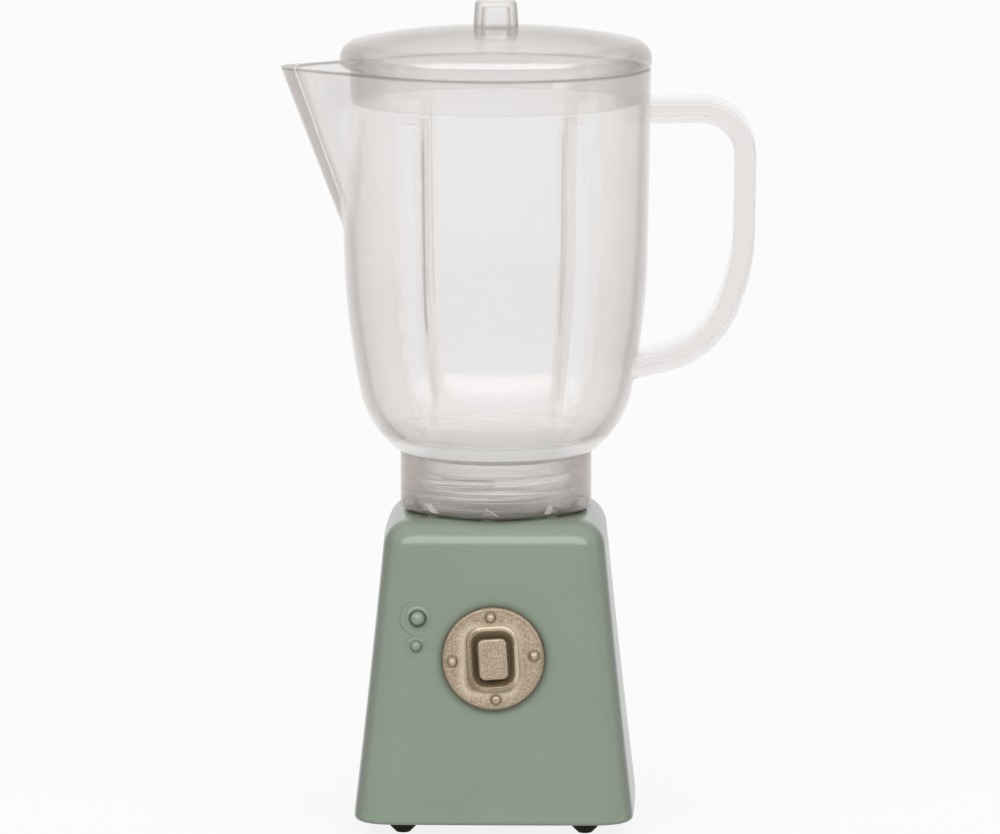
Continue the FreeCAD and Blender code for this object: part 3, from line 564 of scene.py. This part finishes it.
def silicone():
    """Clear silicone: softer and milkier than the styrene round it."""
    material, tree, output = new_material("clear_silicone")
    place = add_node(tree, "ShaderNodeTexCoord").outputs["Object"]
    bloom = add_node(tree, "ShaderNodeTexNoise", {"Vector": place, "Scale": 1 / (0.8 * MM), "Detail": 2.0})
    bump = add_node(tree, "ShaderNodeBump", {
        "Height": bloom.outputs["Fac"], "Strength": 0.1, "Distance": 0.03 * MM})
    shader = add_node(tree, "ShaderNodeBsdfPrincipled", {
        "Base Color": linear("#f3f1ef"), "Roughness": 0.3, "IOR": 1.41, "Transmission Weight": 0.4,
        "Normal": bump.outputs["Normal"]})
    tree.links.new(shader.outputs["BSDF"], output.inputs["Surface"])
    return material


def zinc_plated_steel():
    """Bright zinc-plated steel: a cool grey metal with the fine mottle of its plating."""
    material, tree, output = new_material("zinc_plated_steel")
    place = add_node(tree, "ShaderNodeTexCoord").outputs["Object"]
    plating = add_node(tree, "ShaderNodeTexNoise", {"Vector": place, "Scale": 1 / (0.25 * MM), "Detail": 2.0})
    tone = add_node(tree, "ShaderNodeMix", {"Factor": plating.outputs["Fac"], "A": linear("#a9abac"),
                                            "B": linear("#c6c7c6")}, data_type="RGBA")
    bump = add_node(tree, "ShaderNodeBump", {
        "Height": plating.outputs["Fac"], "Strength": 0.1, "Distance": 0.01 * MM})
    shader = add_node(tree, "ShaderNodeBsdfPrincipled", {
        "Base Color": tone.outputs["Result"], "Metallic": 1.0, "Roughness": 0.34,
        "Normal": bump.outputs["Normal"]})
    tree.links.new(shader.outputs["BSDF"], output.inputs["Surface"])
    return material


def black_abs():
    """Spark-textured dark ABS, as the inner mouldings are: dull, with a fine even grain."""
    material, tree, output = new_material("dark_spark_textured_abs")
    place = add_node(tree, "ShaderNodeTexCoord").outputs["Object"]
    spark = add_node(tree, "ShaderNodeTexNoise", {"Vector": place, "Scale": 1 / (0.35 * MM), "Detail": 3.0})
    colour = add_node(tree, "ShaderNodeMix", {"Factor": spark.outputs["Fac"], "A": linear("#343431"),
                                              "B": linear("#42423e")}, data_type="RGBA")
    bump = add_node(tree, "ShaderNodeBump", {
        "Height": spark.outputs["Fac"], "Strength": 0.4, "Distance": 0.03 * MM})
    shader = add_node(tree, "ShaderNodeBsdfPrincipled", {
        "Base Color": colour.outputs["Result"], "Roughness": 0.55, "IOR": 1.53,
        "Normal": bump.outputs["Normal"]})
    tree.links.new(shader.outputs["BSDF"], output.inputs["Surface"])
    return material


# ---- every piece with its finish ----

enamel = stove_enamel()
bronze = bronze_lacquer("bronze_metallic_lacquer")
plate_bronze = switch_plate_lacquer()
clear_jug = jug_styrene()
clear_handle = handle_styrene()
clear_lid = lid_styrene()
clear_collar = collar_styrene()
clear_boss = boss_styrene()
rubber = moulded_rubber()
clear_seal = silicone()
steel = zinc_plated_steel()
dark_abs = black_abs()

# each CAD node's material, and the slot that its record names
FINISHES = {
    "base_shell": (enamel, "enamel"),
    "bottom_plate": (dark_abs, "inner_plastic"),
    "bottom_screws": (steel, "plated_steel"),
    "switch_plate": (plate_bronze, "bronze"),
    "plate_rivets": (bronze, "bronze"),
    "button_guide": (dark_abs, "inner_plastic"),
    "button": (bronze, "bronze"),
    "button_spring": (steel, "plated_steel"),
    "thread_boss": (clear_boss, "clear_plastic"),
    "boss_screw": (steel, "plated_steel"),
    "boss_washer": (steel, "plated_steel"),
    "neck_seal": (clear_seal, "clear_seal"),
    "neck_collar": (clear_collar, "clear_plastic"),
    "jug": (clear_jug, "clear_plastic"),
    "handle": (clear_handle, "clear_plastic"),
    "lid": (clear_lid, "clear_plastic"),
    "foot_front_left": (rubber, "dark_rubber"),
    "foot_front_right": (rubber, "dark_rubber"),
    "foot_back_left": (rubber, "dark_rubber"),
    "foot_back_right": (rubber, "dark_rubber"),
}

# where a clear piece's flat face draws back from its neighbour, and which way
seal_low, seal_high = heights("neck_seal")
FILMS = {
    "neck_seal": [(seal_high, -FILM), (seal_low, FILM)],
    "neck_collar": [(collar_high, -FILM)],
    "thread_boss": [(heights("base_shell")[1], FILM)],
    "lid": [(rim_height, FILM)],
}

finished = {}
for node, (material, slot_name) in FINISHES.items():
    piece = smooth_shell(node, FILMS.get(node, ()))
    piece.data.materials.append(material)
    finished[node] = piece


def press_spring(spring):
    """Gives the coil spring its own mesh and reads the button's press axis, which nothing uses: the spring
    does not shorten.
    """
    joints = frame["record"]["behaviour"]["joints"]
    press = next(joint for joint in joints if joint["name"] == "button_press")
    inwards = Vector(press["axis"])
    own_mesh(spring)


press_spring(finished["button_spring"])

# ---- stage: a pale sweep, a plain room and one wide soft lamp ----

SWEEP_REACH = 3.0
SWEEP_BACK = 2.6
SWEEP_HEIGHT = 3.0
SWEEP_BEND = 1.0
SHADOW_REACH = (40 * MM, 150 * MM)


def paper_sweep():
    """White paper that the camera, gloss and clear pieces see evenly lit, but for the shadow."""
    material, tree, output = new_material("white_paper_sweep")
    path = add_node(tree, "ShaderNodeLightPath")
    seen = add_node(tree, "ShaderNodeMath", {0: path.outputs["Is Camera Ray"],
                                             1: path.outputs["Is Glossy Ray"]}, operation="MAXIMUM")
    seen = add_node(tree, "ShaderNodeMath", {0: seen.outputs[0], 1: path.outputs["Is Transmission Ray"]},
                    operation="MAXIMUM")
    # close to the blender the paper shows its shadow, and past that reach it is plain white
    place = add_node(tree, "ShaderNodeTexCoord").outputs["Object"]
    far = add_node(tree, "ShaderNodeVectorMath", {0: place}, operation="LENGTH")
    even = add_node(tree, "ShaderNodeMapRange", {
        "Value": far.outputs["Value"], "From Min": SHADOW_REACH[0], "From Max": SHADOW_REACH[1],
        "To Min": 0.9, "To Max": 1.0})
    share = add_node(tree, "ShaderNodeMath", {0: seen.outputs[0], 1: even.outputs["Result"]},
                     operation="MULTIPLY")
    paper = add_node(tree, "ShaderNodeBsdfDiffuse", {"Color": linear("#f2f2f2")})
    glow = add_node(tree, "ShaderNodeEmission", {"Color": linear("#fbfbfb"), "Strength": 1.0})
    blend = add_node(tree, "ShaderNodeMixShader", {0: share.outputs[0], 1: paper.outputs["BSDF"],
                                                   2: glow.outputs["Emission"]})
    tree.links.new(blend.outputs["Shader"], output.inputs["Surface"])
    return material


def make_sweep():
    """Floor that curves up into a backdrop well behind the blender."""
    work = bmesh.new()
    front = work.verts.new((-SWEEP_REACH, -SWEEP_REACH, 0))
    corner = work.verts.new((-SWEEP_REACH, SWEEP_BACK, 0))
    top = work.verts.new((-SWEEP_REACH, SWEEP_BACK, SWEEP_HEIGHT))
    work.edges.new((front, corner))
    work.edges.new((corner, top))
    bmesh.ops.bevel(work, geom=[corner], offset=SWEEP_BEND, offset_type="OFFSET", segments=24,
                    profile=0.5, affect="VERTICES", material=-1)
    drawn = bmesh.ops.extrude_edge_only(work, edges=work.edges[:])
    far = [item for item in drawn["geom"] if isinstance(item, bmesh.types.BMVert)]
    bmesh.ops.translate(work, verts=far, vec=(2 * SWEEP_REACH, 0, 0))
    bmesh.ops.recalc_face_normals(work, faces=work.faces)
    mesh = bpy.data.meshes.new("sweep")
    work.to_mesh(mesh)
    work.free()
    sweep = bpy.data.objects.new("sweep", mesh)
    bpy.context.scene.collection.objects.link(sweep)
    mesh.materials.append(paper_sweep())


def soft_lamp(name, place, aim, width, height, power):
    """Rectangular soft lamp at place, turned to face aim."""
    data = bpy.data.lights.new(name, "AREA")
    data.shape = "RECTANGLE"
    data.size = width
    data.size_y = height
    data.energy = power
    lamp = bpy.data.objects.new(name, data)
    lamp.location = place
    lamp.rotation_euler = (Vector(aim) - Vector(place)).to_track_quat("-Z", "Y").to_euler()
    bpy.context.scene.collection.objects.link(lamp)


def studio_room():
    """Room light: white behind and above the blender, and a dimmer grey beside and before it."""
    world = bpy.data.worlds.new("pale_room")
    bpy.context.scene.world = world
    world.use_nodes = True
    tree = world.node_tree
    direction = add_node(tree, "ShaderNodeTexCoord").outputs["Generated"]
    away = add_node(tree, "ShaderNodeVectorMath", {0: direction, 1: (0.0, 1.0, 0.9)},
                    operation="DOT_PRODUCT")
    level = add_node(tree, "ShaderNodeMapRange", {
        "Value": away.outputs["Value"], "From Min": 0.0, "From Max": 0.6, "To Min": 0.35, "To Max": 0.95})
    background = tree.nodes["Background"]
    background.inputs["Color"].default_value = linear("#fbfaf9")
    tree.links.new(level.outputs["Result"], background.inputs["Strength"])


make_sweep()
studio_room()
soft_lamp("front_lamp", place=(0.0, -0.6, 0.56), aim=(0.0, 0.0, 0.06), width=2.3, height=0.42,
          power=10.4)

# ---- camera ----

CAMERA_DISTANCE = 1.0775
CAMERA_ELEVATION = math.radians(8.1)
CAMERA_AZIMUTH = math.radians(1.2)
CAMERA_LENS = 288.0
AIM_HEIGHT = 54.43 * MM
AIM_RIGHT = 0.54 * MM


def make_camera():
    """Long lens from a little over the blender and a little to its right."""
    data = bpy.data.cameras.new("camera")
    data.lens = CAMERA_LENS
    data.sensor_width = 36.0
    data.clip_start = 0.05
    data.clip_end = 20.0
    camera = bpy.data.objects.new("camera", data)
    back = Vector((math.sin(CAMERA_AZIMUTH) * math.cos(CAMERA_ELEVATION),
                   -math.cos(CAMERA_AZIMUTH) * math.cos(CAMERA_ELEVATION), math.sin(CAMERA_ELEVATION)))
    right = Vector((math.cos(CAMERA_AZIMUTH), math.sin(CAMERA_AZIMUTH), 0))
    aim = Vector((0, 0, AIM_HEIGHT)) + right * AIM_RIGHT
    camera.location = aim + back * CAMERA_DISTANCE
    camera.rotation_euler = (-back).to_track_quat("-Z", "Y").to_euler()
    bpy.context.scene.collection.objects.link(camera)
    bpy.context.scene.camera = camera


make_camera()
bpy.context.scene.view_settings.view_transform = "Standard"
